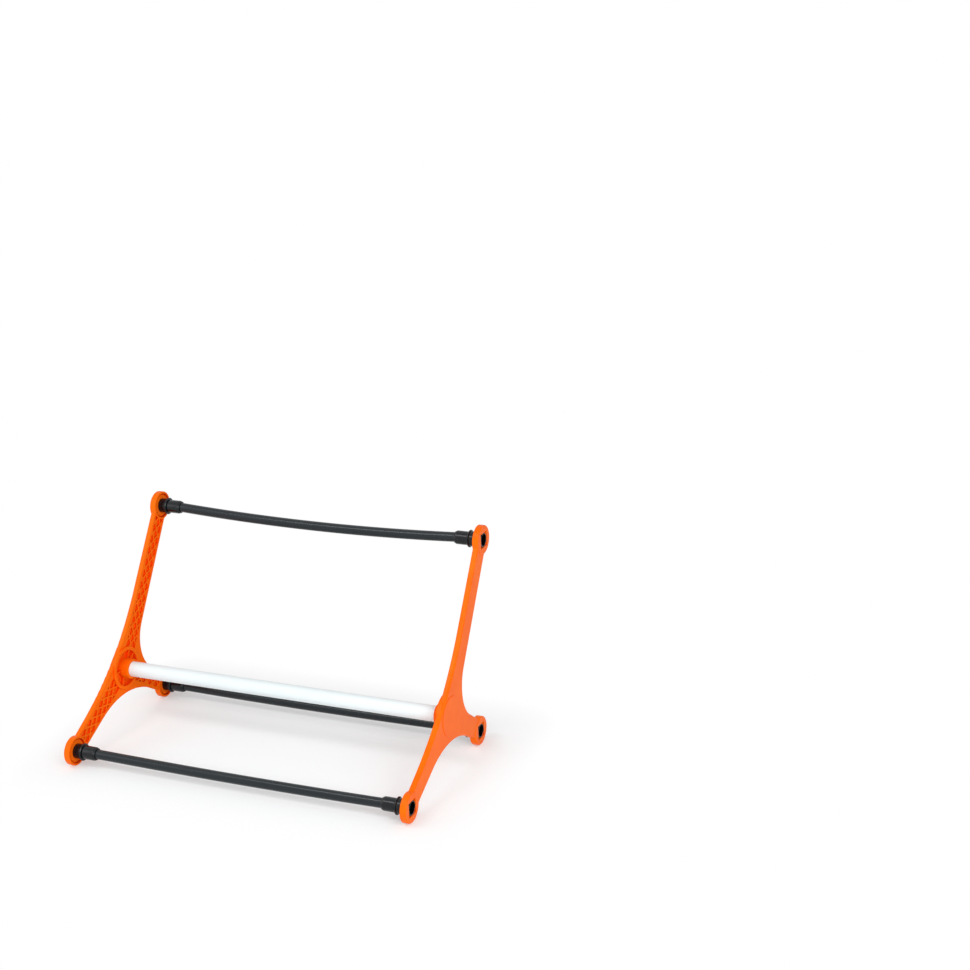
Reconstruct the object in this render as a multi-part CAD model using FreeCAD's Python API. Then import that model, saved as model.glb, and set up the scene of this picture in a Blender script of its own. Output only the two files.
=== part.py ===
import FreeCAD, Part
import math
import os

# Speed hurdle: two moulded side frames, a cross tube between their hubs and three
# flexible bars whose end plugs push into round bosses at the ends of the frame arms.
# Millimetres. X runs along the bars, Y from the front foot to the back foot, Z up.
# The hub axis is at Y zero and the middle of the hurdle at X zero, with the floor at Z zero.

# Whole hurdle
overall_width = 508.0
hub_height = 86.0
front_reach = 130.7
back_reach = 94.5
top_reach = 130.7
top_rise = 198.0

# Arms of a side frame, with depths counted from its outer face towards the other frame
arm_face_depth = 0.8
arm_rim_depth = 8.0
arm_floor_depth = 4.9
arm_root_half_width = 16.0
arm_tip_half_width = 13.5
arm_edge_round = 3.0
arm_rim_chamfer = 0.6
arm_wall = 3.4
top_front_sweep = 420.0
front_back_arch = 122.0
back_top_sweep = 57.0

# Lattice of crossing ribs in the arm channels
rib_cell_length = 16.8
rib_thickness = 2.4
rib_drop = 0.5
rib_turn = 38.0
smallest_cell_share = 0.25
top_first_crossing = 34.3
front_first_crossing = 36.8
back_first_crossing = 36.8

# Round boss at each arm end, which is also a foot
boss_radius = 20.0
boss_rim_depth = 8.8
boss_edge_round = 1.6
boss_rim_round = 0.6
boss_rim_wall = 2.6
boss_groove_width = 2.2
boss_groove_floor_depth = 4.0
collar_depth = 7.5
window_side = 20.4
window_depth = 4.0

# Hub in the middle of the frame, with its tube socket
hub_radius = 30.5
hub_face_radius = 27.0
hub_rim_depth = 10.4
hub_ring_wall = 5.0
hub_floor_depth = 4.5
hub_edge_round = 0.7
hub_rim_round = 0.6
hub_rib_thickness = 2.2
hub_rib_drop = 2.2
hub_rib_turns = (-57.0, -25.0, 3.0, 123.0, 186.0, 268.0)
socket_wall = 3.3
socket_depth = 20.0
socket_end_round = 1.0
socket_floor_depth = 4.5

# Cross tube
tube_diameter = 21.3
tube_wall = 2.8
tube_end_chamfer = 0.8

# Hollow bars and how far each one sags at mid span
bar_diameter = 13.3
bar_wall = 2.2
bar_lead = 2.0
bar_bend_radius = 120.0
top_bar_sag = 6.5
front_bar_sag = 2.0
rear_bar_sag = 2.0

# End plug: spigot in the boss, hollow neck, flange and stem in the bar's bore
spigot_diameter = 19.2
spigot_chamfer = 0.5
spigot_end_depth = 0.3
neck_diameter = 20.2
neck_bore = 16.4
neck_floor_depth = 15.5
flange_depth = 18.0
flange_diameter = 23.8
flange_thickness = 2.8
flange_bevel = 1.0
stem_length = 18.0
stem_chamfer = 1.0

# Sleeve round each bar end, with a tapered nose
sleeve_diameter = 18.5
sleeve_length = 20.0
sleeve_edge_chamfer = 0.5
nose_length = 3.0
nose_diameter = 16.0

# Clearances and the overrun of cutting tools
running_fit = 0.08
seat_gap = 0.15
push_fit = 0.04
overrun = 1.0

inward = FreeCAD.Vector(-1, 0, 0)
sideways = FreeCAD.Vector(1, 0, 0)
hub = FreeCAD.Vector(0, 0, hub_height)
arm_ends = {
    "top": FreeCAD.Vector(0, top_reach, hub_height + top_rise),
    "front": FreeCAD.Vector(0, -front_reach, boss_radius),
    "back": FreeCAD.Vector(0, back_reach, boss_radius),
}
arms = tuple(arm_ends)
sweeps = {"top": top_front_sweep, "front": front_back_arch, "back": back_top_sweep}
first_crossings = {"top": top_first_crossing, "front": front_first_crossing, "back": back_first_crossing}
socket_radius = tube_diameter / 2 + running_fit + socket_wall
sleeve_start_depth = flange_depth + flange_thickness + seat_gap
sleeve_end_depth = sleeve_start_depth + sleeve_length


def at_depth(point, depth):
    """The point of the frame plane, moved to a depth below the right frame's outer face."""
    return FreeCAD.Vector(overall_width / 2 - depth, point.y, point.z)


def prism(points, start, end):
    """Straight solid over a closed polygon of the frame plane, between two depths."""
    corners = [at_depth(point, start) for point in points]
    face = Part.Face(Part.makePolygon(corners + corners[:1]))
    return face.extrude(inward * (end - start))


def disc(centre, radius, start, end):
    """Round solid about an axis along X, between two depths."""
    return Part.makeCylinder(radius, end - start, at_depth(centre, start), inward)


def ring(centre, inner, outer, start, end):
    """Round solid with a hole, between two depths."""
    hole = disc(centre, inner, start - overrun, end + overrun)
    return disc(centre, outer, start, end).cut(hole)


def turned(centre, profile):
    """Solid turned about an axis along X from a closed profile of depths and radii."""
    points = [at_depth(centre, depth) + FreeCAD.Vector(0, 0, radius) for depth, radius in profile]
    face = Part.Face(Part.makePolygon(points + points[:1]))
    return face.revolve(at_depth(centre, 0), inward, 360)


def edges_at(shape, depth):
    """Edges of a shape that lie at one depth."""
    place = overall_width / 2 - depth
    boxes = ((edge, edge.BoundBox) for edge in shape.Edges)
    return [edge for edge, box in boxes if max(abs(box.XMin - place), abs(box.XMax - place)) < push_fit]


def rib(foot, head, thickness, start, end):
    """Straight rib between two points of the frame plane, run past both."""
    along = (head - foot).normalize()
    across = FreeCAD.Vector(0, -along.z, along.y) * (thickness / 2)
    foot = foot - along * thickness
    head = head + along * thickness
    return prism([foot - across, head - across, head + across, foot + across], start, end)


def arm_axes(arm):
    """Unit vectors along an arm and across it, to its left seen from outside."""
    along = (arm_ends[arm] - hub).normalize()
    return along, FreeCAD.Vector(0, -along.z, along.y)


def arm_point(arm, distance, side, inset):
    """Point of a tapering arm edge, on its left (1) or right (-1), at a distance from the hub."""
    along, across = arm_axes(arm)
    taper_share = distance / (arm_ends[arm] - hub).Length
    half_width = arm_root_half_width + (arm_tip_half_width - arm_root_half_width) * taper_share
    return hub + along * distance + across * (side * (half_width - inset))


def arm_edge(arm, side):
    """Root and tip of one arm edge."""
    length = (arm_ends[arm] - hub).Length
    return arm_point(arm, 0, side, 0), arm_point(arm, length, side, 0)


def crossing(first, second):
    """Where two lines of the frame plane cross, each given by two points."""
    a = first[1] - first[0]
    b = second[1] - second[0]
    gap = second[0] - first[0]
    way_share = (gap.y * b.z - gap.z * b.y) / (a.y * b.z - a.z * b.y)
    return first[0] + a * way_share


def sweep_points(first, second, radius):
    """Start, middle and end of the arc that blends two arm edges."""
    corner = crossing(first, second)
    out_first = (first[1] - corner).normalize()
    out_second = (second[1] - corner).normalize()
    middle = (out_first + out_second).normalize()
    half_angle = out_first.getAngle(out_second) / 2
    reach = radius / math.tan(half_angle)
    nearest = radius / math.sin(half_angle) - radius
    return corner + out_first * reach, corner + middle * nearest, corner + out_second * reach


def frame_outline(depth):
    """Closed outline of the three arms, blended into each other round the hub."""
    edges = []
    for place, arm in enumerate(arms):
        after = arms[(place + 1) % len(arms)]
        left = arm_edge(arm, 1)
        right = arm_edge(arm, -1)
        onward = arm_edge(after, -1)
        arc = [at_depth(point, depth) for point in sweep_points(left, onward, sweeps[arm])]
        tips = [at_depth(edge[1], depth) for edge in (right, left, onward)]
        edges.append(Part.LineSegment(tips[0], tips[1]).toShape())
        edges.append(Part.LineSegment(tips[1], arc[0]).toShape())
        edges.append(Part.Arc(*arc).toShape())
        edges.append(Part.LineSegment(arc[2], tips[2]).toShape())
    return Part.Wire(edges)


def arm_plate():
    """The three arms as one plate, round at the outer face and bevelled at the rim."""
    plate = Part.Face(frame_outline(arm_face_depth)).extrude(inward * (arm_rim_depth - arm_face_depth))
    plate = plate.makeFillet(arm_edge_round, edges_at(plate, arm_face_depth))
    return plate.makeChamfer(arm_rim_chamfer, edges_at(plate, arm_rim_depth))


def arm_pockets(arm):
    """Open channel of one arm between hub and boss, cut up into cells by crossing ribs."""
    length = (arm_ends[arm] - hub).Length
    along = arm_axes(arm)[0]
    inset = arm_rim_chamfer + arm_wall
    rib_top = arm_rim_depth - rib_drop
    corners = ((0, -1), (length, -1), (length, 1), (0, 1))
    outline = [arm_point(arm, place, side, inset) for place, side in corners]

    def channel(start, end):
        ends = [disc(hub, hub_radius, start, end), disc(arm_ends[arm], boss_radius, start, end)]
        return prism(outline, start, end).cut(ends)

    ribs = []
    reach = arm_root_half_width / math.sin(math.radians(rib_turn))
    start = arm_floor_depth - overrun
    end = rib_top + overrun
    place = first_crossings[arm]
    while place < length:
        middle = hub + along * place
        for turn in (-rib_turn, rib_turn):
            half = FreeCAD.Rotation(sideways, turn).multVec(along) * reach
            ribs.append(rib(middle - half, middle + half, rib_thickness, start, end))
        place += rib_cell_length
    cells = channel(arm_floor_depth, rib_top).cut(ribs).Solids
    smallest = smallest_cell_share * rib_cell_length * rib_thickness * (rib_top - arm_floor_depth)
    return [cell for cell in cells if cell.Volume > smallest] + [channel(rib_top, arm_rim_depth + overrun)]


def boss(centre):
    """Round boss of an arm end, before its openings are cut."""
    body = disc(centre, boss_radius, 0, boss_rim_depth)
    body = body.makeFillet(boss_edge_round, edges_at(body, 0))
    return body.makeFillet(boss_rim_round, edges_at(body, boss_rim_depth))


def boss_openings(centre):
    """Square window, spigot bore, sunk collar face and groove round the collar."""
    half = window_side / 2
    turns = ((-half, -half), (half, -half), (half, half), (-half, half))
    corners = [centre + FreeCAD.Vector(0, y, z) for y, z in turns]
    groove_radius = boss_radius - boss_rim_wall
    collar_radius = groove_radius - boss_groove_width
    past_rim = boss_rim_depth + overrun
    return [
        prism(corners, -overrun, window_depth),
        disc(centre, spigot_diameter / 2 + running_fit, 0, past_rim),
        disc(centre, groove_radius, collar_depth, past_rim),
        ring(centre, collar_radius, groove_radius, boss_groove_floor_depth, past_rim),
    ]


def hub_body():
    """Round hub with a raised outer face, and the tube socket standing on its inner side."""
    face = disc(hub, hub_face_radius, 0, arm_rim_depth)
    face = face.makeFillet(hub_edge_round, edges_at(face, 0))
    plate = disc(hub, hub_radius, arm_face_depth + arm_edge_round, hub_rim_depth)
    plate = plate.makeFillet(hub_rim_round, edges_at(plate, hub_rim_depth))
    socket = disc(hub, socket_radius, hub_edge_round, socket_depth)
    socket = socket.makeFillet(socket_end_round, edges_at(socket, socket_depth))
    return plate.fuse([face, socket])


def hub_pockets():
    """Pockets between the socket and the hub ring, parted by ribs along radii."""
    outer = hub_radius - hub_ring_wall
    rib_top = hub_rim_depth - hub_rib_drop
    spokes = [FreeCAD.Rotation(sideways, turn).multVec(arm_axes("top")[0]) * outer for turn in hub_rib_turns]
    ribs = [
        rib(hub, hub + spoke, hub_rib_thickness, hub_floor_depth - overrun, rib_top + overrun)
        for spoke in spokes
    ]
    cells = ring(hub, socket_radius, outer, hub_floor_depth, rib_top).cut(ribs).Solids
    return cells + [ring(hub, socket_radius, outer, rib_top, hub_rim_depth + overrun)]


def side_frame():
    """Right side frame as one moulding."""
    body = arm_plate().fuse([boss(centre) for centre in arm_ends.values()] + [hub_body()])
    cuts = [disc(hub, tube_diameter / 2 + running_fit, socket_floor_depth, socket_depth + overrun)]
    cuts += hub_pockets()
    for arm, centre in arm_ends.items():
        cuts += arm_pockets(arm)
        cuts += boss_openings(centre)
    return body.cut(cuts)


def cross_tube():
    """Tube that runs from socket floor to socket floor."""
    start = socket_floor_depth + seat_gap
    end = overall_width - start
    outer = tube_diameter / 2
    inner = outer - tube_wall
    edge = outer - tube_end_chamfer
    return turned(hub, [
        (start, inner), (start, edge), (start + tube_end_chamfer, outer),
        (end - tube_end_chamfer, outer), (end, edge), (end, inner),
    ])


def bar_path(centre, sag, end_x):
    """Centre line with straight ends, a small bend at each sleeve and one long sagging arc."""
    span_x = overall_width / 2 - sleeve_end_depth - bar_lead
    turn = 2 * math.atan(sag / span_x)

    def bend(share):
        angle = turn * share
        x = span_x - bar_bend_radius * math.sin(angle)
        return x, bar_bend_radius * (1 - math.cos(angle))

    ends = [(end_x, 0), (span_x, 0), bend(1 / 2), bend(1)]
    right = [FreeCAD.Vector(x, centre.y, centre.z - drop) for x, drop in ends]
    left = [FreeCAD.Vector(-x, centre.y, centre.z - drop) for x, drop in ends]
    middle = FreeCAD.Vector(0, centre.y, centre.z - sag)
    return Part.Wire([
        Part.LineSegment(left[0], left[1]).toShape(),
        Part.Arc(left[1], left[2], left[3]).toShape(),
        Part.Arc(left[3], middle, right[3]).toShape(),
        Part.Arc(right[3], right[2], right[1]).toShape(),
        Part.LineSegment(right[1], right[0]).toShape(),
    ])


def swept(path, radius):
    """Round solid along a path, with its volume compared with section times length."""
    start = path.OrderedVertexes[0].Point
    section = Part.Wire([Part.makeCircle(radius, start, sideways)])
    solid = path.makePipeShell([section], True, False)
    print("volume over section times length", round(solid.Volume / (path.Length * math.pi * radius ** 2), 5))
    return solid


def bar(centre, sag):
    """Hollow bar between the flanges of its two end plugs."""
    end_x = overall_width / 2 - sleeve_start_depth
    outer = swept(bar_path(centre, sag, end_x), bar_diameter / 2)
    inner = swept(bar_path(centre, sag, end_x + overrun), bar_diameter / 2 - bar_wall)
    return outer.cut(inner)


def end_plug(centre):
    """Right end plug of a bar: spigot, hollow neck, flange and stem."""
    shoulder = collar_depth + seat_gap
    flange_end = flange_depth + flange_thickness
    stem_end = flange_end + stem_length
    bore = neck_bore / 2
    spigot = spigot_diameter / 2
    neck = neck_diameter / 2
    flange = flange_diameter / 2
    stem = bar_diameter / 2 - bar_wall - push_fit
    return turned(centre, [
        (spigot_end_depth, bore), (spigot_end_depth, spigot - spigot_chamfer),
        (spigot_end_depth + spigot_chamfer, spigot),
        (shoulder, spigot), (shoulder, neck), (flange_depth, neck),
        (flange_depth, flange - flange_bevel), (flange_depth + flange_bevel, flange),
        (flange_end - flange_bevel, flange), (flange_end, flange - flange_bevel),
        (flange_end, stem), (stem_end - stem_chamfer, stem), (stem_end, stem - stem_chamfer),
        (stem_end, 0), (neck_floor_depth, 0), (neck_floor_depth, bore),
    ])


def sleeve(centre):
    """Right sleeve of a bar, from the plug's flange to its tapered nose."""
    inner = bar_diameter / 2 + push_fit
    outer = sleeve_diameter / 2
    edge = sleeve_edge_chamfer
    return turned(centre, [
        (sleeve_start_depth, inner), (sleeve_start_depth, outer - edge),
        (sleeve_start_depth + edge, outer), (sleeve_end_depth - nose_length, outer),
        (sleeve_end_depth, nose_diameter / 2), (sleeve_end_depth, inner),
    ])


def mirrored(shape):
    """The same piece on the left side."""
    return shape.mirror(FreeCAD.Vector(0, 0, 0), sideways)


def build():
    """All pieces of the hurdle by node name."""
    frame = side_frame()
    pieces = {"left_side_frame": mirrored(frame), "right_side_frame": frame, "cross_tube": cross_tube()}
    bars = (
        ("top_bar", "top", top_bar_sag),
        ("front_bar", "front", front_bar_sag),
        ("rear_bar", "back", rear_bar_sag),
    )
    for node, arm, sag in bars:
        centre = arm_ends[arm]
        pieces[node] = bar(centre, sag)
        for name, piece in (("plug", end_plug(centre)), ("sleeve", sleeve(centre))):
            pieces[node + "_left_" + name] = mirrored(piece)
            pieces[node + "_right_" + name] = piece
    return pieces


os.makedirs("parts", exist_ok=True)
for node, shape in build().items():
    state = "valid" if shape.isValid() else "NOT VALID"
    print(node, len(shape.Solids), "solid", state, round(shape.Volume))
    shape.Solids[0].exportStep("parts/" + node + ".step")
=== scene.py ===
import math

import bmesh
import bpy
from mathutils import Matrix, Vector
from mathutils.bvhtree import BVHTree


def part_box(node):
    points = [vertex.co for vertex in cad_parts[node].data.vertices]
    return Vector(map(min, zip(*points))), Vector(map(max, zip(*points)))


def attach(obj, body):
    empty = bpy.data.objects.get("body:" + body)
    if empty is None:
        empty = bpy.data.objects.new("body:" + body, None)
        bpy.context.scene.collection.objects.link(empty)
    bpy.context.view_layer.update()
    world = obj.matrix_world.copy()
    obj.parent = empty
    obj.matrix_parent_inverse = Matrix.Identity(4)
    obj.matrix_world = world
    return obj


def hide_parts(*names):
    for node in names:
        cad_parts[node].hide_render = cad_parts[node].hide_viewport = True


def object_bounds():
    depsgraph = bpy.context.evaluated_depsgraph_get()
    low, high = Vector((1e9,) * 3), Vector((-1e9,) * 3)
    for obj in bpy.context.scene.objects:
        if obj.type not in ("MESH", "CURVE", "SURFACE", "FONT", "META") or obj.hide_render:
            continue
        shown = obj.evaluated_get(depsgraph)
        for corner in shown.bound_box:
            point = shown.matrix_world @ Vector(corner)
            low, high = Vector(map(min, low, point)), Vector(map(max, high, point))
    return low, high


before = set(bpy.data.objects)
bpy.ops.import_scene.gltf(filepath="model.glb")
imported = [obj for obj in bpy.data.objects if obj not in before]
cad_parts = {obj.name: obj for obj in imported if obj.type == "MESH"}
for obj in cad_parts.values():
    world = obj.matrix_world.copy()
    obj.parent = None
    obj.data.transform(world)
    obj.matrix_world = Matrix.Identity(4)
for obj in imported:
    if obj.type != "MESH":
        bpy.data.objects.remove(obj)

bl_info = {
    "name": "Speed hurdle",
    "version": (1, 0, 0),
    "blender": (4, 5, 0),
    "location": "View3D > Sidebar > Hurdle",
    "description": "Dresses the speed hurdle: side frames, bars, plugs, sleeves, tube and stage",
    "category": "Object",
}

# Metres, in the frame of the solids: X along the bars, Y to the back foot, Z up.

CAD_BOX = [list(corner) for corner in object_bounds()]
BARS = ("top_bar", "front_bar", "rear_bar")
SIDES = ("left", "right")

# Turned and swept pieces: edges that turn by more than the limit stay sharp
SHARP_TURN = math.radians(40.0)
TURNED_WELD = 0.000002
CORNER_STEPS = 4
CORNER_REACH_SHARE = 0.45

# Ranges that the finishes draw from: most of a noise's values, and open to closed in a recess,
# which sets how much shade is painted
NOISE_LOW, NOISE_HIGH = 0.3, 0.7
RECESS_OPEN, RECESS_CLOSED = 0.08, 0.60

# Camera body
MM_PER_METRE = 1000
SENSOR_WIDTH_MM = 36.0
CLIP_START, CLIP_END = 0.05, 60.0


def node_box(node):
    """Lowest corner, highest corner and centre of a CAD node."""
    low, high = (Vector(corner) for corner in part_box(node))
    return low, high, (low + high) / 2


RIGHT_FACE = node_box("right_side_frame")[1].x
FRONT_BOX = node_box("front_bar")
SLEEVE_BOX = node_box("front_bar_right_sleeve")
PLUG_BOX = node_box("front_bar_right_plug")
TUBE_BOX = node_box("cross_tube")


# Kinds of settings


def length(name, description, default):
    """A property for a length in metres."""
    return bpy.props.FloatProperty(
        name=name, description=description, default=default, min=0.0, precision=5,
        unit="LENGTH", subtype="DISTANCE",
    )


def spot(name, description, default):
    """A property for a point in metres."""
    return bpy.props.FloatVectorProperty(
        name=name, description=description, default=default, size=3,
        unit="LENGTH", subtype="TRANSLATION",
    )


def share(name, description, default):
    """A property for a value between nothing and all."""
    return bpy.props.FloatProperty(
        name=name, description=description, default=default, min=0.0, max=1.0, subtype="FACTOR",
    )


def colour(name, description, default):
    """A property for a colour, in linear values."""
    return bpy.props.FloatVectorProperty(
        name=name, description=description, default=default, size=3, min=0.0, max=1.0,
        subtype="COLOR",
    )


def angle(name, description, default):
    """A property for an angle, given in degrees."""
    return bpy.props.FloatProperty(
        name=name, description=description, default=math.radians(default),
        unit="ROTATION", subtype="ANGLE",
    )


def power(name, description, default):
    """A property for a lamp's power in watts."""
    return bpy.props.FloatProperty(
        name=name, description=description, default=default, min=0.0, unit="POWER",
    )


def number(name, description, default):
    """A property for a count."""
    return bpy.props.IntProperty(name=name, description=description, default=default, min=3)


# Settings of the pieces and the stage


class FrameSettings(bpy.types.PropertyGroup):
    """Sizes and finish of the moulded side frames."""

    edge_round: length("Edge round", "Small round on the moulding's sharp edges", 0.00032)
    weld: length("Weld distance", "Vertices closer than this are merged", 0.000004)
    flat_limit: angle("Flat limit", "Facets that meet at less than this are joined", 0.6)
    sharp_limit: angle("Sharp limit", "Edges that turn by more than this are rounded", 28.0)
    core_turn: share("Core turn", "How far a face must turn inwards to be matt", 0.24)
    recess_reach: length("Recess reach", "How far off a wall still closes a recess", 0.012)
    recess_width: length("Recess width", "Faces wider than this are never in a recess", 0.024)
    recess_rays: number("Recess rays", "Directions tried from each face", 24)
    body_colour: colour("Orange", "Main colour of the moulding", (0.96, 0.152, 0.0015))
    flow_colour: colour("Flow orange", "Colour of the faint flow clouds", (0.93, 0.132, 0.001))
    rub_colour: colour("Rubbed orange", "Colour of the rubbed edges", (0.96, 0.168, 0.003))
    # Painted shade: the darker orange that the recess mark blends in between the ribs
    painted_shade_orange: colour("Shaded orange", "Colour between the ribs", (0.90, 0.064, 0.0006))
    gloss: share("Roughness", "Mean roughness of the satin outer side", 0.34)
    core_gloss: share("Core roughness", "Roughness of the matt inner side with the ribs", 0.85)
    shine: share("Shine", "Strength of the reflections", 0.08)


class BarSettings(bpy.types.PropertyGroup):
    """Sizes and finish of the bars."""

    radius: length("Radius", "Outside radius of a bar", (FRONT_BOX[1].y - FRONT_BOX[0].y) / 2)
    wall: length("Wall", "Wall of a hollow bar", 0.0022)
    kink_round: length("Bend softness", "How softly a bar bends beside its sleeves", 0.0003)
    rings: number("Rings", "Steps along a bar", 161)
    sides: number("Sides", "Facets round a bar", 40)
    black: colour("Black", "Main colour of the bars", (0.0072, 0.0112, 0.0136))
    streak: colour("Streak black", "Colour of the drawn streaks", (0.0118, 0.0166, 0.0196))
    gloss: share("Roughness", "Mean roughness of the bars", 0.22)
    shine: share("Shine", "Strength of the reflections", 0.32)


class FittingSettings(bpy.types.PropertyGroup):
    """Sizes and finish of the end plugs and sleeves. Depths count from a frame's outer face."""

    edge_round: length("Edge round", "Round on the turned edges", 0.0004)
    sides: number("Sides", "Facets round a fitting", 64)
    spigot_radius: length("Spigot radius", "Radius of the plug's end in the boss", 0.0096)
    spigot_bevel: length("Spigot bevel", "Bevel at the plug's end", 0.0005)
    shoulder_depth: length("Shoulder depth", "Depth of the plug's shoulder", 0.00765)
    neck_radius: length("Neck radius", "Radius of the plug's neck", 0.0101)
    bore_radius: length("Bore radius", "Radius of the hole in the plug", 0.0082)
    bore_depth: length("Bore depth", "Depth of that hole's floor", 0.0155)
    flange_depth: length("Flange depth", "Depth of the plug's flange", 0.0180)
    flange_thickness: length("Flange thickness", "Thickness of the plug's flange", 0.0028)
    flange_bevel: length("Flange bevel", "Bevel on the flange's edges", 0.0010)
    stem_radius: length("Stem radius", "Radius of the plug's stem in the bar", 0.00441)
    stem_bevel: length("Stem bevel", "Bevel at the stem's end", 0.0010)
    sleeve_bore: length("Sleeve bore", "Radius of the hole in a sleeve", 0.00669)
    sleeve_bevel: length("Sleeve bevel", "Bevel at the sleeve's flange end", 0.0005)
    nose_length: length("Nose length", "Length of the sleeve's tapered nose", 0.0030)
    nose_radius: length("Nose radius", "Radius at the end of that nose", 0.0080)
    recess_reach: length("Recess reach", "How far off a wall still closes a recess", 0.020)
    recess_width: length("Recess width", "Faces wider than this are never in a recess", 0.024)
    recess_rays: number("Recess rays", "Directions tried from each face", 16)
    black: colour("Black", "Main colour of the fittings", (0.0045, 0.0060, 0.0072))
    scuff: colour("Scuffed black", "Colour of the scuffs", (0.0095, 0.0118, 0.0138))
    # Painted shade: the near-black that the recess mark blends into the plugs' holes and other
    # recesses
    painted_shade_black: colour("Shaded black", "Colour in the plugs' holes", (0.0012, 0.0013, 0.0015))
    gloss: share("Roughness", "Mean roughness of the fittings", 0.19)
    shine: share("Shine", "Strength of the reflections", 0.30)


class TubeSettings(bpy.types.PropertyGroup):
    """Sizes and finish of the cross tube."""

    wall: length("Wall", "Wall of the tube", 0.0028)
    edge_round: length("Edge round", "Round on the tube's ends", 0.0007)
    sides: number("Sides", "Facets round the tube", 72)
    recess_reach: length("Recess reach", "How far off a wall still closes a recess", 0.020)
    recess_width: length("Recess width", "Faces wider than this are never in a recess", 0.024)
    recess_rays: number("Recess rays", "Directions tried from each face", 16)
    white: colour("White", "Main colour of the tube", (0.80, 0.865, 0.88))
    cloud: colour("Cloud white", "Colour of the faint clouds", (0.775, 0.84, 0.856))
    # Painted shade: the grey that the recess mark blends into the tube's bore
    painted_shade_white: colour("Shaded white", "Colour in the tube's bore", (0.62, 0.66, 0.67))
    gloss: share("Roughness", "Mean roughness of the tube", 0.33)
    shine: share("Shine", "Strength of the reflections", 0.28)


class StageSettings(bpy.types.PropertyGroup):
    """Floor, lamps and camera."""

    floor_half: length("Floor half width", "Half the width of the floor", 4.0)
    floor_colour: colour("Floor white", "Colour of the floor", (0.955, 0.970, 0.974))
    floor_gloss: share("Floor roughness", "Roughness of the floor", 0.9)
    floor_shine: share("Floor shine", "Strength of the floor's reflections", 0.1)
    fade_start: share("Fade start", "Share of background white below the hurdle", 0.3)
    fade_end: length("Fade end", "How far from the footprint the floor turns all white", 0.085)
    ambient: share("Ambient", "Strength of the light from all round", 0.485)
    lamp_aim: spot("Lamp aim", "Point that all the lamps face", (0.0, 0.0, 0.12))
    soft_size: length("Soft lamp size", "Side of the lamps at the front and on the left", 1.2)
    front: power("Front lamp", "Power of the lamp at the front", 9.0)
    front_place: spot("Front place", "Where that lamp hangs", (0.45, -2.1, 1.2))
    front_right: power("Front right lamp", "Power of the lamp at the front right", 19.0)
    front_right_place: spot("Front right place", "Where that lamp hangs", (1.5, -1.1, 1.1))
    left: power("Left lamp", "Power of the lamp on the left", 6.0)
    left_place: spot("Left place", "Where that lamp hangs", (-1.5, -0.9, 0.9))
    strip: power("Strip lamp", "Power of the lamp that draws a line of light on the bars", 6.2)
    strip_place: spot("Strip place", "Where the strip lamp hangs", (-0.45, -0.85, 1.6))
    strip_length: length("Strip length", "Length of the strip lamp", 0.85)
    strip_width: length("Strip width", "Width of the strip lamp", 0.36)
    lens: length("Lens", "Focal length of the camera", 0.06651)
    azimuth: angle("Azimuth", "How far the camera stands to the right of the front", 23.168)
    elevation: angle("Elevation", "How far the camera looks down", 18.717)
    roll: angle("Roll", "Turn of the camera about its axis", -2.361)
    distance: length("Distance", "From the camera to the plane through the hurdle", 2.41569)
    aim_height: length("Aim height", "Height of the point that the aim is counted from", 0.130)
    aim_right: length("Aim right", "How far the aim lies to the right of that point", 0.27996)
    aim_up: length("Aim up", "How far the aim lies above that point", 0.23716)


# Node helpers


def link_all(tree, links):
    """Links pairs of sockets."""
    for start, end in links:
        tree.links.new(start, end)


def calculate(tree, operation, *values):
    """A math node whose inputs are numbers or sockets."""
    node = tree.nodes.new("ShaderNodeMath")
    node.operation = operation
    for socket, value in zip(node.inputs, values):
        if isinstance(value, bpy.types.NodeSocket):
            tree.links.new(value, socket)
        else:
            socket.default_value = value
    return node.outputs[0]


def new_material(name):
    """A material with an output and a shader, its tree and that shader."""
    material = bpy.data.materials.new(name)
    material.use_nodes = True
    tree = material.node_tree
    tree.nodes.clear()
    output = tree.nodes.new("ShaderNodeOutputMaterial")
    shader = tree.nodes.new("ShaderNodeBsdfPrincipled")
    tree.links.new(shader.outputs["BSDF"], output.inputs["Surface"])
    return material, tree, shader


def object_noise(tree, scale, detail, roughness=0.5, stretch=(1.0, 1.0, 1.0)):
    """Noise on the object's own coordinates, which can be drawn out along an axis."""
    place = tree.nodes.new("ShaderNodeTexCoord")
    mapping = tree.nodes.new("ShaderNodeMapping")
    mapping.inputs["Scale"].default_value = stretch
    noise = tree.nodes.new("ShaderNodeTexNoise")
    noise.inputs["Scale"].default_value = scale
    noise.inputs["Detail"].default_value = detail
    noise.inputs["Roughness"].default_value = roughness
    link_all(tree, [
        (place.outputs["Object"], mapping.inputs["Vector"]),
        (mapping.outputs["Vector"], noise.inputs["Vector"]),
    ])
    return noise.outputs["Fac"]


def face_mark(tree, name):
    """The value that a mesh's faces carry under a name."""
    mark = tree.nodes.new("ShaderNodeAttribute")
    mark.attribute_name = name
    return mark.outputs["Fac"]


def spread(tree, value, low, high, to_low=0.0, to_high=1.0):
    """Maps a value from one range to another."""
    node = tree.nodes.new("ShaderNodeMapRange")
    node.inputs["From Min"].default_value = low
    node.inputs["From Max"].default_value = high
    node.inputs["To Min"].default_value = to_low
    node.inputs["To Max"].default_value = to_high
    tree.links.new(value, node.inputs["Value"])
    return node.outputs["Result"]


def vary_gloss(tree, pattern, mean, below, above):
    """Roughness that follows a pattern, from a little below its mean to a little above."""
    return spread(tree, pattern, NOISE_LOW, NOISE_HIGH, mean - below, mean + above)


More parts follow.
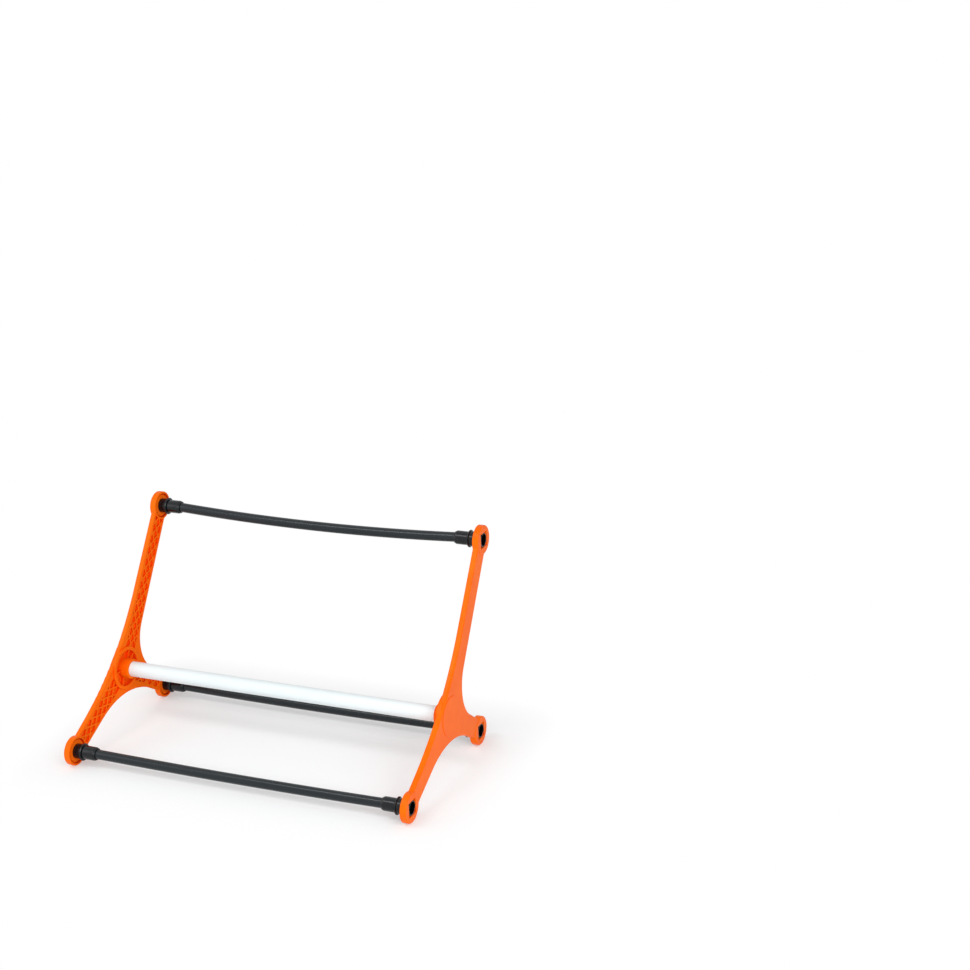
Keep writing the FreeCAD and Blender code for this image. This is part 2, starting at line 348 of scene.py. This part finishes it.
def blend_colours(tree, factor, first, second):
    """Mixes two colours, each a value or a socket."""
    node = tree.nodes.new("ShaderNodeMix")
    node.data_type = "RGBA"
    tree.links.new(factor, node.inputs["Factor"])
    # A Mix node repeats its socket names for each data type, so the colours go by number
    for socket, value in ((node.inputs[6], first), (node.inputs[7], second)):
        if isinstance(value, bpy.types.NodeSocket):
            tree.links.new(value, socket)
        else:
            socket.default_value = (*value, 1.0)
    return node.outputs[2]


def relief(tree, shader, layers):
    """Bump from several heights, each with its strength and its depth in metres."""
    normal = None
    for height, strength, depth in layers:
        bump = tree.nodes.new("ShaderNodeBump")
        bump.inputs["Strength"].default_value = strength
        bump.inputs["Distance"].default_value = depth
        tree.links.new(height, bump.inputs["Height"])
        if normal:
            tree.links.new(normal, bump.inputs["Normal"])
        normal = bump.outputs["Normal"]
    tree.links.new(normal, shader.inputs["Normal"])


def paint_recess_shade(tree, shader, tone, shaded_tone):
    """Gives the shader its colour, with painted shade: a darker colour on faces that the recess
    mark finds close to other walls.
    """
    shade_share = spread(tree, face_mark(tree, "recess"), RECESS_OPEN, RECESS_CLOSED)
    tree.links.new(blend_colours(tree, shade_share, tone, shaded_tone), shader.inputs["Base Color"])


def background_rays(tree):
    """One for the rays that see the white background, nought for those that light the hurdle."""
    rays = tree.nodes.new("ShaderNodeLightPath").outputs
    mirrored = calculate(tree, "MAXIMUM", rays["Is Glossy Ray"], rays["Is Transmission Ray"])
    return calculate(tree, "MAXIMUM", rays["Is Camera Ray"], mirrored)


def way_off_footprint(tree):
    """How far a point of the floor lies outside the hurdle's footprint."""
    way = tree.nodes.new("ShaderNodeTexCoord").outputs["Object"]
    steps = (
        ("ABSOLUTE", None),
        ("SUBTRACT", CAD_BOX[1]),
        ("MAXIMUM", (0.0, 0.0, 0.0)),
        ("LENGTH", None),
    )
    for operation, amount in steps:
        step = tree.nodes.new("ShaderNodeVectorMath")
        step.operation = operation
        tree.links.new(way, step.inputs[0])
        if amount:
            step.inputs[1].default_value = amount
        way = next(socket for socket in step.outputs if socket.enabled)
    return way


# Finishes


def frame_plastic(settings):
    """Orange moulding, satin outside and matt on its ribbed side, with rubbed edges and painted
    shade in the pockets between the ribs.
    """
    material, tree, shader = new_material("orange_moulding")
    clouds = object_noise(tree, scale=34.0, detail=4.0)
    grain = object_noise(tree, scale=1500.0, detail=2.0)
    waves = object_noise(tree, scale=95.0, detail=1.0)
    specks = object_noise(tree, scale=420.0, detail=3.0, roughness=0.65)
    flow = spread(tree, clouds, low=0.35, high=0.65)
    base = blend_colours(tree, flow, settings.body_colour, settings.flow_colour)
    patches = spread(tree, specks, low=0.35, high=0.60, to_low=0.15, to_high=0.85)
    worn = calculate(tree, "MULTIPLY", face_mark(tree, "rub"), patches)
    edged = blend_colours(tree, worn, base, settings.rub_colour)
    # Painted shade in the pockets between the ribs
    paint_recess_shade(tree, shader, edged, settings.painted_shade_orange)
    matt = spread(tree, face_mark(tree, "core"), low=0.0, high=1.0, to_high=settings.core_gloss)
    satin = vary_gloss(tree, specks, settings.gloss, below=0.05, above=0.07)
    tree.links.new(calculate(tree, "MAXIMUM", satin, matt), shader.inputs["Roughness"])
    relief(tree, shader, [(waves, 0.10, 0.0006), (grain, 0.12, 0.00008)])
    shader.inputs["Specular IOR Level"].default_value = settings.shine
    return material


def bar_plastic(settings):
    """Black drawn plastic with streaks along the bar."""
    material, tree, shader = new_material("black_bar")
    streaks = object_noise(
        tree, scale=1.0, detail=3.0, roughness=0.6, stretch=(4.0, 420.0, 420.0)
    )
    dust = object_noise(tree, scale=260.0, detail=4.0, roughness=0.6)
    grain = object_noise(tree, scale=1300.0, detail=2.0)
    drawn = spread(tree, streaks, low=0.40, high=0.72)
    tone = blend_colours(tree, drawn, settings.black, settings.streak)
    gloss = vary_gloss(tree, dust, settings.gloss, below=0.03, above=0.06)
    link_all(tree, [
        (tone, shader.inputs["Base Color"]),
        (gloss, shader.inputs["Roughness"]),
    ])
    relief(tree, shader, [(streaks, 0.05, 0.0002), (grain, 0.05, 0.00005)])
    shader.inputs["Specular IOR Level"].default_value = settings.shine
    return material


def fitting_plastic(settings, name, scuff_scale):
    """Satin black moulding with a few scuffs and painted shade in the plugs' holes and other
    recesses.
    """
    material, tree, shader = new_material(name)
    scuffs = object_noise(tree, scale=scuff_scale, detail=5.0, roughness=0.62)
    grain = object_noise(tree, scale=1700.0, detail=2.0)
    worn = spread(tree, scuffs, low=0.52, high=0.75)
    tone = blend_colours(tree, worn, settings.black, settings.scuff)
    # Painted shade in holes and close to walls
    paint_recess_shade(tree, shader, tone, settings.painted_shade_black)
    gloss = vary_gloss(tree, scuffs, settings.gloss, below=0.07, above=0.10)
    tree.links.new(gloss, shader.inputs["Roughness"])
    relief(tree, shader, [(grain, 0.14, 0.00008)])
    shader.inputs["Specular IOR Level"].default_value = settings.shine
    return material


def tube_plastic(settings):
    """Smooth white tube with faint clouds, drawing lines and painted shade in its bore."""
    material, tree, shader = new_material("white_tube")
    clouds = object_noise(tree, scale=60.0, detail=4.0, stretch=(0.3, 1.0, 1.0))
    lines = object_noise(tree, scale=1.0, detail=2.0, stretch=(3.0, 300.0, 300.0))
    cloudy = spread(tree, clouds, low=0.35, high=0.68)
    tone = blend_colours(tree, cloudy, settings.white, settings.cloud)
    # Painted shade in the bore
    paint_recess_shade(tree, shader, tone, settings.painted_shade_white)
    gloss = vary_gloss(tree, clouds, settings.gloss, below=0.05, above=0.08)
    tree.links.new(gloss, shader.inputs["Roughness"])
    relief(tree, shader, [(lines, 0.05, 0.0001)])
    shader.inputs["Specular IOR Level"].default_value = settings.shine
    return material


# Mesh helpers


def add_object(name, data):
    """A new object in the scene's collection."""
    made = bpy.data.objects.new(name, data)
    bpy.context.scene.collection.objects.link(made)
    return made


def shade(mesh, limit):
    """Smooth faces, with edges sharp above a turn."""
    mesh.polygons.foreach_set("use_smooth", [True] * len(mesh.polygons))
    mesh.set_sharp_from_angle(angle=limit)


def settled(made):
    """Turns an object with modifiers into a plain mesh object."""
    depsgraph = bpy.context.evaluated_depsgraph_get()
    mesh = bpy.data.meshes.new_from_object(made.evaluated_get(depsgraph))
    made.modifiers.clear()
    rough = made.data
    made.data = mesh
    bpy.data.meshes.remove(rough)
    mesh.name = made.name
    if not mesh.polygons:
        raise RuntimeError(made.name + " came out empty")
    return made


def rounded(points, radius):
    """Closed profile with its corners rounded, as far as the sides allow."""
    corners = [Vector(point) for point in points]
    path = []
    for index, corner in enumerate(corners):
        before = corners[index - 1] - corner
        after = corners[(index + 1) % len(corners)] - corner
        turn = math.pi - before.angle(after)
        reach = min(
            radius * math.tan(turn / 2),
            before.length * CORNER_REACH_SHARE,
            after.length * CORNER_REACH_SHARE,
        )
        start = corner + before.normalized() * reach
        end = corner + after.normalized() * reach
        for step in range(CORNER_STEPS + 1):
            done = step / CORNER_STEPS
            left = 1 - done
            path.append(start * left ** 2 + corner * (2 * done * left) + end * done ** 2)
    return path


def mark_recesses(shape, settings):
    """Marks each face with the share of directions in which another wall is near, which sets how
    much shade the finishes paint on it.
    """
    recess = shape.faces.layers.float.new("recess")
    walls = BVHTree.FromBMesh(shape)
    count = settings.recess_rays
    golden = math.pi * (3 - math.sqrt(5))
    fan = []
    for index in range(count):
        out = math.sqrt((index + 0.5) / count)
        side = (out * math.cos(golden * index), out * math.sin(golden * index))
        fan.append(Vector((*side, math.sqrt(1 - out * out))))
    for face in shape.faces:
        if face.calc_area() > settings.recess_width ** 2:
            continue
        turn = face.normal.to_track_quat("Z", "Y")
        start = face.calc_center_median() + face.normal * settings.edge_round
        hits = [walls.ray_cast(start, turn @ way, settings.recess_reach)[0] for way in fan]
        face[recess] = sum(hit is not None for hit in hits) / count


def turned(name, profile, settings):
    """Mesh turned about the X axis from a closed profile of places along it and radii."""
    shape = bmesh.new()
    ring = [shape.verts.new((x, 0.0, max(radius, 0.0))) for x, radius in profile]
    edges = [shape.edges.new((ring[index - 1], ring[index])) for index in range(len(ring))]
    bmesh.ops.spin(
        shape, geom=ring + edges, axis=(1.0, 0.0, 0.0), cent=(0.0, 0.0, 0.0),
        angle=2 * math.pi, steps=settings.sides, use_merge=True,
    )
    bmesh.ops.remove_doubles(shape, verts=shape.verts, dist=TURNED_WELD)
    bmesh.ops.dissolve_degenerate(shape, edges=shape.edges, dist=TURNED_WELD)
    bmesh.ops.recalc_face_normals(shape, faces=shape.faces)
    # Recess mark for the painted shade in holes and bores
    mark_recesses(shape, settings)
    mesh = bpy.data.meshes.new(name)
    shape.to_mesh(mesh)
    shape.free()
    return mesh


# Geometry node trees


def new_tree(name, sockets):
    """A geometry tree with named inputs, and its input and output nodes."""
    tree = bpy.data.node_groups.new(name, "GeometryNodeTree")
    for socket, kind in sockets:
        tree.interface.new_socket(name=socket, in_out="INPUT", socket_type="NodeSocket" + kind)
    tree.interface.new_socket(
        name="Geometry", in_out="OUTPUT", socket_type="NodeSocketGeometry"
    )
    return tree, tree.nodes.new("NodeGroupInput"), tree.nodes.new("NodeGroupOutput")


def finish_tree(tree, geometry, material, end):
    """Ends a tree with Realize Instances and Set Material."""
    realize = tree.nodes.new("GeometryNodeRealizeInstances")
    paint = tree.nodes.new("GeometryNodeSetMaterial")
    link_all(tree, [
        (geometry, realize.inputs["Geometry"]),
        (realize.outputs["Geometry"], paint.inputs["Geometry"]),
        (material, paint.inputs["Material"]),
        (paint.outputs["Geometry"], end.inputs["Geometry"]),
    ])


def sagging_bar_tree():
    """The skin of a round bar along X whose middle hangs below its ends."""
    tree, start, end = new_tree("Sagging bar", [
        ("Half length", "Float"),
        ("Half span", "Float"),
        ("Sag", "Float"),
        ("Bend softness", "Float"),
        ("Radius", "Float"),
        ("Rings", "Int"),
        ("Sides", "Int"),
        ("Axis", "Vector"),
        ("Material", "Material"),
    ])
    given = start.outputs
    line_ends = []
    for sign in (-1.0, 1.0):
        tip = tree.nodes.new("ShaderNodeCombineXYZ")
        tree.links.new(calculate(tree, "MULTIPLY", given["Half length"], sign), tip.inputs["X"])
        line_ends.append(tip.outputs["Vector"])
    line = tree.nodes.new("GeometryNodeCurvePrimitiveLine")
    resample = tree.nodes.new("GeometryNodeResampleCurve")
    position = tree.nodes.new("GeometryNodeInputPosition")
    split = tree.nodes.new("ShaderNodeSeparateXYZ")
    place = calculate(tree, "DIVIDE", split.outputs["X"], given["Half span"])
    fall = calculate(tree, "SUBTRACT", 1.0, calculate(tree, "MULTIPLY", place, place))
    drop = calculate(tree, "MULTIPLY", fall, given["Sag"])
    soft = calculate(tree, "SMOOTH_MAX", drop, 0.0, given["Bend softness"])
    lower = tree.nodes.new("ShaderNodeCombineXYZ")
    move = tree.nodes.new("GeometryNodeSetPosition")
    circle = tree.nodes.new("GeometryNodeCurvePrimitiveCircle")
    sweep = tree.nodes.new("GeometryNodeCurveToMesh")
    to_axis = tree.nodes.new("GeometryNodeTransform")
    link_all(tree, [
        (line_ends[0], line.inputs["Start"]),
        (line_ends[1], line.inputs["End"]),
        (line.outputs["Curve"], resample.inputs["Curve"]),
        (given["Rings"], resample.inputs["Count"]),
        (position.outputs["Position"], split.inputs["Vector"]),
        (calculate(tree, "MULTIPLY", soft, -1.0), lower.inputs["Z"]),
        (resample.outputs["Curve"], move.inputs["Geometry"]),
        (lower.outputs["Vector"], move.inputs["Offset"]),
        (given["Radius"], circle.inputs["Radius"]),
        (given["Sides"], circle.inputs["Resolution"]),
        (move.outputs["Geometry"], sweep.inputs["Curve"]),
        (circle.outputs["Curve"], sweep.inputs["Profile Curve"]),
        (sweep.outputs["Mesh"], to_axis.inputs["Geometry"]),
        (given["Axis"], to_axis.inputs["Translation"]),
    ])
    finish_tree(tree, to_axis.outputs["Geometry"], given["Material"], end)
    return tree


def both_ends_tree():
    """Repeats a turned fitting at the right and left end of a bar."""
    tree, start, end = new_tree("Both ends", [
        ("Fitting", "Geometry"),
        ("Axis", "Vector"),
        ("Material", "Material"),
    ])
    given = start.outputs
    points = tree.nodes.new("GeometryNodePoints")
    points.inputs["Count"].default_value = len(SIDES)
    count = tree.nodes.new("GeometryNodeInputIndex")
    turn = tree.nodes.new("ShaderNodeCombineXYZ")
    repeat = tree.nodes.new("GeometryNodeInstanceOnPoints")
    half_turns = calculate(tree, "MULTIPLY", count.outputs["Index"], math.pi)
    link_all(tree, [
        (given["Axis"], points.inputs["Position"]),
        (points.outputs[0], repeat.inputs["Points"]),
        (given["Fitting"], repeat.inputs["Instance"]),
        (half_turns, turn.inputs["Z"]),
        (turn.outputs["Vector"], repeat.inputs["Rotation"]),
    ])
    finish_tree(tree, repeat.outputs["Instances"], given["Material"], end)
    return tree


def run_tree(made, tree, values):
    """Adds a tree to an object, sets its inputs by identifier and settles the result."""
    modifier = made.modifiers.new(tree.name, "NODES")
    modifier.node_group = tree
    for item in tree.interface.items_tree:
        if item.in_out == "INPUT" and item.name in values:
            modifier[item.identifier] = values[item.name]
    return settled(made)


# Pieces


def bar_axis(bar):
    """Middle of the straight line between a bar's two ends."""
    centre = node_box(bar + "_right_sleeve")[2]
    return Vector((0.0, centre.y, centre.z))


def place_fittings(kind, profile, settings, material):
    """Turns a fitting and sets one at both ends of each bar."""
    tree = both_ends_tree()
    path = rounded(profile, settings.edge_round)
    for bar in BARS:
        made = add_object(bar + "_" + kind + "s", turned(bar + "_" + kind, path, settings))
        run_tree(made, tree, {"Axis": bar_axis(bar), "Material": material})
        shade(made.data, SHARP_TURN)
        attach(made, bar + "_set")
        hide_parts(*(bar + "_" + side + "_" + kind for side in SIDES))


class HURDLE_OT_side_frames(bpy.types.Operator):
    """Round the edges of both moulded side frames and give them their finish"""

    bl_idname = "hurdle.side_frames"
    bl_label = "Side frames"

    def execute(self, context):
        settings = context.scene.hurdle_frames
        material = frame_plastic(settings)
        for side in SIDES:
            node = side + "_side_frame"
            mesh = self.moulding(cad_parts[node], settings)
            mesh.materials.append(material)
            made = add_object(side + "_frame_moulding", mesh)
            flatten = made.modifiers.new("Flat faces", "WEIGHTED_NORMAL")
            flatten.keep_sharp = True
            settled(made)
            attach(made, side + "_frame")
            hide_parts(node)
        return {"FINISHED"}

    def moulding(self, source, settings):
        """Welded copy of a frame's mesh, with rounded edges and the marks that its finish reads."""
        shape = bmesh.new()
        shape.from_mesh(source.data)
        bmesh.ops.remove_doubles(shape, verts=shape.verts, dist=settings.weld)
        bmesh.ops.dissolve_limit(
            shape, angle_limit=settings.flat_limit, verts=shape.verts, edges=shape.edges,
            use_dissolve_boundaries=False,
        )
        sharp = [
            edge for edge in shape.edges
            if edge.is_manifold and edge.calc_face_angle() > settings.sharp_limit
        ]
        rub = shape.faces.layers.float.new("rub")
        rounds = bmesh.ops.bevel(
            shape, geom=sharp, offset=settings.edge_round, offset_type="OFFSET", affect="EDGES",
            segments=2, profile=0.5, clamp_overlap=True, miter_outer="SHARP",
        )
        for face in rounds["faces"]:
            face[rub] = 1.0
        shape.normal_update()
        core = shape.faces.layers.float.new("core")
        for face in shape.faces:
            side = face.normal.x * face.calc_center_median().x
            outwards = math.copysign(face.normal.x, side)
            face[core] = float(outwards < -settings.core_turn)
        # Recess mark for the painted shade between the ribs
        mark_recesses(shape, settings)
        mesh = bpy.data.meshes.new(source.name + "_rounded")
        shape.to_mesh(mesh)
        shape.free()
        shade(mesh, settings.sharp_limit)
        return mesh


class HURDLE_OT_bars(bpy.types.Operator):
    """Sweep the three sagging bars and give them their wall"""

    bl_idname = "hurdle.bars"
    bl_label = "Bars"

    def execute(self, context):
        settings = context.scene.hurdle_bars
        material = bar_plastic(settings)
        tree = sagging_bar_tree()
        for bar in BARS:
            low, high, _ = node_box(bar)
            axis = bar_axis(bar)
            made = add_object(bar + "_rod", bpy.data.meshes.new(bar))
            run_tree(made, tree, {
                "Half length": high.x,
                "Half span": node_box(bar + "_right_sleeve")[0].x,
                "Sag": axis.z - settings.radius - low.z,
                "Bend softness": settings.kink_round,
                "Radius": settings.radius,
                "Rings": settings.rings,
                "Sides": settings.sides,
                "Axis": axis,
                "Material": material,
            })
            hollow = made.modifiers.new("Wall", "SOLIDIFY")
            hollow.thickness = settings.wall
            hollow.offset = -1.0
            hollow.use_even_offset = True
            settled(made)
            shade(made.data, SHARP_TURN)
            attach(made, bar + "_set")
            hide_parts(bar)
        return {"FINISHED"}


class HURDLE_OT_end_plugs(bpy.types.Operator):
    """Turn the end plugs that the bosses hold"""

    bl_idname = "hurdle.end_plugs"
    bl_label = "End plugs"

    def execute(self, context):
        settings = context.scene.hurdle_fittings
        inner, outer = PLUG_BOX[0].x, PLUG_BOX[1].x
        shoulder = RIGHT_FACE - settings.shoulder_depth
        floor = RIGHT_FACE - settings.bore_depth
        near = RIGHT_FACE - settings.flange_depth
        far = near - settings.flange_thickness
        flange = (PLUG_BOX[1].y - PLUG_BOX[0].y) / 2
        bore, spigot = settings.bore_radius, settings.spigot_radius
        neck, stem = settings.neck_radius, settings.stem_radius
        tip_bevel, end_bevel = settings.spigot_bevel, settings.stem_bevel
        bevel = settings.flange_bevel
        profile = [
            (outer, bore),
            (outer, spigot - tip_bevel),
            (outer - tip_bevel, spigot),
            (shoulder, spigot),
            (shoulder, neck),
            (near, neck),
            (near, flange - bevel),
            (near - bevel, flange),
            (far + bevel, flange),
            (far, flange - bevel),
            (far, stem),
            (inner + end_bevel, stem),
            (inner, stem - end_bevel),
            (inner, 0.0),
            (floor, 0.0),
            (floor, bore),
        ]
        material = fitting_plastic(settings, "black_plug", scuff_scale=160.0)
        place_fittings("plug", profile, settings, material)
        return {"FINISHED"}


class HURDLE_OT_sleeves(bpy.types.Operator):
    """Turn the sleeves round the bars' ends"""

    bl_idname = "hurdle.sleeves"
    bl_label = "Sleeves"

    def execute(self, context):
        settings = context.scene.hurdle_fittings
        inner, outer = SLEEVE_BOX[0].x, SLEEVE_BOX[1].x
        radius = (SLEEVE_BOX[1].y - SLEEVE_BOX[0].y) / 2
        bevel = settings.sleeve_bevel
        profile = [
            (outer, settings.sleeve_bore),
            (outer, radius - bevel),
            (outer - bevel, radius),
            (inner + settings.nose_length, radius),
            (inner, settings.nose_radius),
            (inner, settings.sleeve_bore),
        ]
        material = fitting_plastic(settings, "black_sleeve", scuff_scale=120.0)
        place_fittings("sleeve", profile, settings, material)
        return {"FINISHED"}


class HURDLE_OT_cross_tube(bpy.types.Operator):
    """Turn the white tube between the hub sockets"""

    bl_idname = "hurdle.cross_tube"
    bl_label = "Cross tube"

    def execute(self, context):
        settings = context.scene.hurdle_tube
        low, high, centre = TUBE_BOX
        radius = (high.y - low.y) / 2
        bore = radius - settings.wall
        profile = [(high.x, bore), (high.x, radius), (low.x, radius), (low.x, bore)]
        mesh = turned("white_tube", rounded(profile, settings.edge_round), settings)
        mesh.transform(Matrix.Translation((0.0, centre.y, centre.z)))
        mesh.materials.append(tube_plastic(settings))
        shade(mesh, SHARP_TURN)
        made = add_object("cross_tube_white", mesh)
        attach(made, "tube")
        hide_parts("cross_tube")
        return {"FINISHED"}


class HURDLE_OT_stage(bpy.types.Operator):
    """Lay the pale floor, hang the soft lamps and set up the camera"""

    bl_idname = "hurdle.stage"
    bl_label = "Stage"

    def execute(self, context):
        settings = context.scene.hurdle_stage
        context.scene.view_settings.view_transform = "Standard"
        self.lay_floor(settings)
        self.light_all_round(context.scene, settings)
        soft = (settings.soft_size, settings.soft_size)
        strip = (settings.strip_length, settings.strip_width)
        lamps = (
            ("front_lamp", settings.front, soft, settings.front_place),
            ("front_right_lamp", settings.front_right, soft, settings.front_right_place),
            ("left_lamp", settings.left, soft, settings.left_place),
            ("strip_lamp", settings.strip, strip, settings.strip_place),
        )
        for name, strength, sides, place in lamps:
            self.hang_lamp(name, strength, sides, Vector(place), Vector(settings.lamp_aim))
        context.scene.camera = self.set_camera(settings)
        return {"FINISHED"}

    def lay_floor(self, settings):
        """Flat white floor that keeps the shadow below the hurdle and fades to white around it."""
        half = settings.floor_half
        corners = [(-half, -half, 0.0), (half, -half, 0.0), (half, half, 0.0), (-half, half, 0.0)]
        mesh = bpy.data.meshes.new("floor")
        mesh.from_pydata(corners, [], [(0, 1, 2, 3)])
        floor = add_object("floor", mesh)
        material, tree, shader = new_material("white_floor")
        output = next(node for node in tree.nodes if node.type == "OUTPUT_MATERIAL")
        shader.inputs["Base Color"].default_value = (*settings.floor_colour, 1.0)
        shader.inputs["Roughness"].default_value = settings.floor_gloss
        shader.inputs["Specular IOR Level"].default_value = settings.floor_shine
        way = way_off_footprint(tree)
        fade = spread(tree, way, low=0.0, high=settings.fade_end, to_low=settings.fade_start)
        white = tree.nodes.new("ShaderNodeEmission")
        mix = tree.nodes.new("ShaderNodeMixShader")
        link_all(tree, [
            (calculate(tree, "MULTIPLY", fade, background_rays(tree)), mix.inputs["Fac"]),
            (shader.outputs["BSDF"], mix.inputs[1]),
            (white.outputs["Emission"], mix.inputs[2]),
            (mix.outputs["Shader"], output.inputs["Surface"]),
        ])
        mesh.materials.append(material)

    def light_all_round(self, scene, settings):
        """White background for camera and reflections, softer light for everything else."""
        world = bpy.data.worlds.new("studio")
        world.use_nodes = True
        scene.world = world
        tree = world.node_tree
        tree.nodes.clear()
        output = tree.nodes.new("ShaderNodeOutputWorld")
        soft = tree.nodes.new("ShaderNodeBackground")
        soft.inputs["Strength"].default_value = settings.ambient
        white = tree.nodes.new("ShaderNodeBackground")
        for background in (soft, white):
            background.inputs["Color"].default_value = (1.0, 1.0, 1.0, 1.0)
        mix = tree.nodes.new("ShaderNodeMixShader")
        link_all(tree, [
            (background_rays(tree), mix.inputs["Fac"]),
            (soft.outputs["Background"], mix.inputs[1]),
            (white.outputs["Background"], mix.inputs[2]),
            (mix.outputs["Shader"], output.inputs["Surface"]),
        ])

    def hang_lamp(self, name, strength, sides, place, aim):
        """Soft lamp at a place that faces the aim."""
        lamp = bpy.data.lights.new(name, "AREA")
        lamp.energy = strength
        lamp.shape = "RECTANGLE"
        lamp.size, lamp.size_y = sides
        hung = add_object(name, lamp)
        hung.location = place
        hung.rotation_mode = "QUATERNION"
        hung.rotation_quaternion = (aim - place).to_track_quat("-Z", "Y")

    def set_camera(self, settings):
        """Camera at the viewing angle, aimed beside the hurdle."""
        turn, tilt, roll = settings.azimuth, settings.elevation, settings.roll
        ahead = Vector((
            -math.sin(turn) * math.cos(tilt),
            math.cos(turn) * math.cos(tilt),
            -math.sin(tilt),
        ))
        level = Vector((math.cos(turn), math.sin(turn), 0.0))
        upright = level.cross(ahead)
        right = level * math.cos(roll) + upright * math.sin(roll)
        up = upright * math.cos(roll) - level * math.sin(roll)
        aim = Vector((0.0, 0.0, settings.aim_height))
        aim += right * settings.aim_right + up * settings.aim_up
        data = bpy.data.cameras.new("camera")
        data.sensor_width = SENSOR_WIDTH_MM
        data.lens = settings.lens * MM_PER_METRE
        data.clip_start, data.clip_end = CLIP_START, CLIP_END
        camera = add_object("camera", data)
        axes = Matrix((right, up, -ahead)).transposed().to_4x4()
        camera.matrix_world = Matrix.Translation(aim - ahead * settings.distance) @ axes
        return camera


OPERATORS = (
    HURDLE_OT_side_frames,
    HURDLE_OT_bars,
    HURDLE_OT_end_plugs,
    HURDLE_OT_sleeves,
    HURDLE_OT_cross_tube,
    HURDLE_OT_stage,
)

SETTINGS = {
    "hurdle_frames": FrameSettings,
    "hurdle_bars": BarSettings,
    "hurdle_fittings": FittingSettings,
    "hurdle_tube": TubeSettings,
    "hurdle_stage": StageSettings,
}


class HURDLE_PT_pieces(bpy.types.Panel):
    """Sidebar list of the hurdle's pieces and their settings"""

    bl_idname = "HURDLE_PT_pieces"
    bl_label = "Hurdle"
    bl_space_type = "VIEW_3D"
    bl_region_type = "UI"
    bl_category = "Hurdle"

    def draw(self, context):
        for operator in OPERATORS:
            self.layout.operator(operator.bl_idname)
        for name, group in SETTINGS.items():
            box = self.layout.box()
            box.label(text=group.__doc__)
            for setting in group.__annotations__:
                box.prop(getattr(context.scene, name), setting)


def register():
    """Registers settings, operators and panel."""
    for name, group in SETTINGS.items():
        bpy.utils.register_class(group)
        setattr(bpy.types.Scene, name, bpy.props.PointerProperty(type=group))
    for part in (*OPERATORS, HURDLE_PT_pieces):
        bpy.utils.register_class(part)


def unregister():
    """Takes everything off again."""
    for part in reversed((*OPERATORS, HURDLE_PT_pieces)):
        bpy.utils.unregister_class(part)
    for name, group in reversed(SETTINGS.items()):
        delattr(bpy.types.Scene, name)
        bpy.utils.unregister_class(group)


def main():
    """Dresses the hurdle."""
    register()
    bpy.ops.hurdle.side_frames()
    bpy.ops.hurdle.bars()
    bpy.ops.hurdle.end_plugs()
    bpy.ops.hurdle.sleeves()
    bpy.ops.hurdle.cross_tube()
    bpy.ops.hurdle.stage()


if __name__ == "__main__":
    main()
